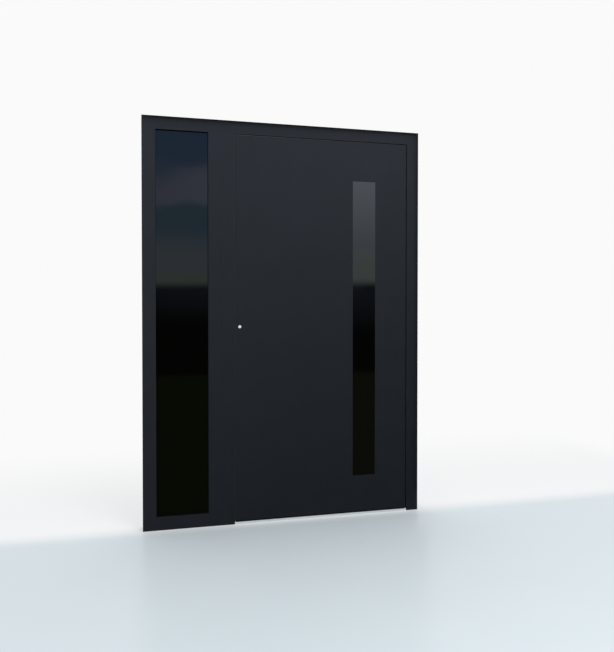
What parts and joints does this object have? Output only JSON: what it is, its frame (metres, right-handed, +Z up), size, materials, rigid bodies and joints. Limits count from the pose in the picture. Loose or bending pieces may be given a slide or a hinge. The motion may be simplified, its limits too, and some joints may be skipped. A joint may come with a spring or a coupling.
{
  "type": "entrance door with sidelight",
  "caption": "Flush aluminium entrance door with a narrow glazed strip in the leaf and a full-height fixed sidelight beside it.",
  "frame": {"origin": "underside of the threshold, half way across the whole width and half way through the frame's depth", "axes": "+X along the width towards the hinge side, +Y from the street into the house, +Z up"},
  "size_m": [1.6, 0.144, 2.25],
  "materials": {
    "frame_paint": "satin powder coat, anthracite grey",
    "leaf_paint": "satin powder coat, anthracite grey",
    "silver_anodised": "silver anodised",
    "clear_glass": "polished, insulating glass",
    "black_rubber": "matt",
    "black_plastic": "matt",
    "rigid_foam": "cut foam",
    "stainless": "brushed",
    "steel": "zinc plated",
    "nickel": "satin nickel plated brass",
    "hinge_paint": "satin powder coat"
  },
  "bodies": {
    "frame": {"coupling_bar": "black_plastic", "door_head": "frame_paint", "hinge_frame_half_bottom": "hinge_paint", "hinge_frame_half_middle": "hinge_paint", "hinge_frame_half_top": "hinge_paint", "hinge_jamb": "frame_paint", "lock_jamb": "frame_paint", "sidelight_bead_bottom": "frame_paint", "sidelight_bead_left": "frame_paint", "sidelight_bead_right": "frame_paint", "sidelight_bead_top": "frame_paint", "sidelight_gaskets": "black_rubber", "sidelight_head": "frame_paint", "sidelight_inner_pane": "clear_glass", "sidelight_left_jamb": "frame_paint", "sidelight_outer_pane": "clear_glass", "sidelight_right_jamb": "frame_paint", "sidelight_setting_blocks": "black_plastic", "sidelight_sill": "frame_paint", "sidelight_spacer": "black_plastic", "stop_seal": "black_rubber", "strike_plate": "stainless", "threshold": "silver_anodised"},
    "leaf": {"cylinder_rosette": "stainless", "hinge_leaf_half_bottom": "hinge_paint", "hinge_leaf_half_middle": "hinge_paint", "hinge_leaf_half_top": "hinge_paint", "leaf_bottom_rail": "leaf_paint", "leaf_bottom_seal": "black_rubber", "leaf_core": "rigid_foam", "leaf_hinge_stile": "leaf_paint", "leaf_inner_skin": "leaf_paint", "leaf_lock_stile": "leaf_paint", "leaf_outer_skin": "leaf_paint", "leaf_top_rail": "leaf_paint", "lever_handle": "stainless", "lever_rosette": "stainless", "lock_case": "steel", "lock_cylinder": "nickel", "lock_faceplate": "stainless", "strip_edge_seals": "black_plastic", "strip_inner_pane": "clear_glass", "strip_middle_pane": "clear_glass", "strip_outer_pane": "clear_glass", "strip_trim": "leaf_paint"}
  },
  "joints": [
    {"name": "leaf_swing", "type": "hinge", "parent": "frame", "child": "leaf", "pos_m": [0.7475, 0.051, 1.125], "axis": [0, 0, -1], "range_deg": [0, 100]}
  ]
}
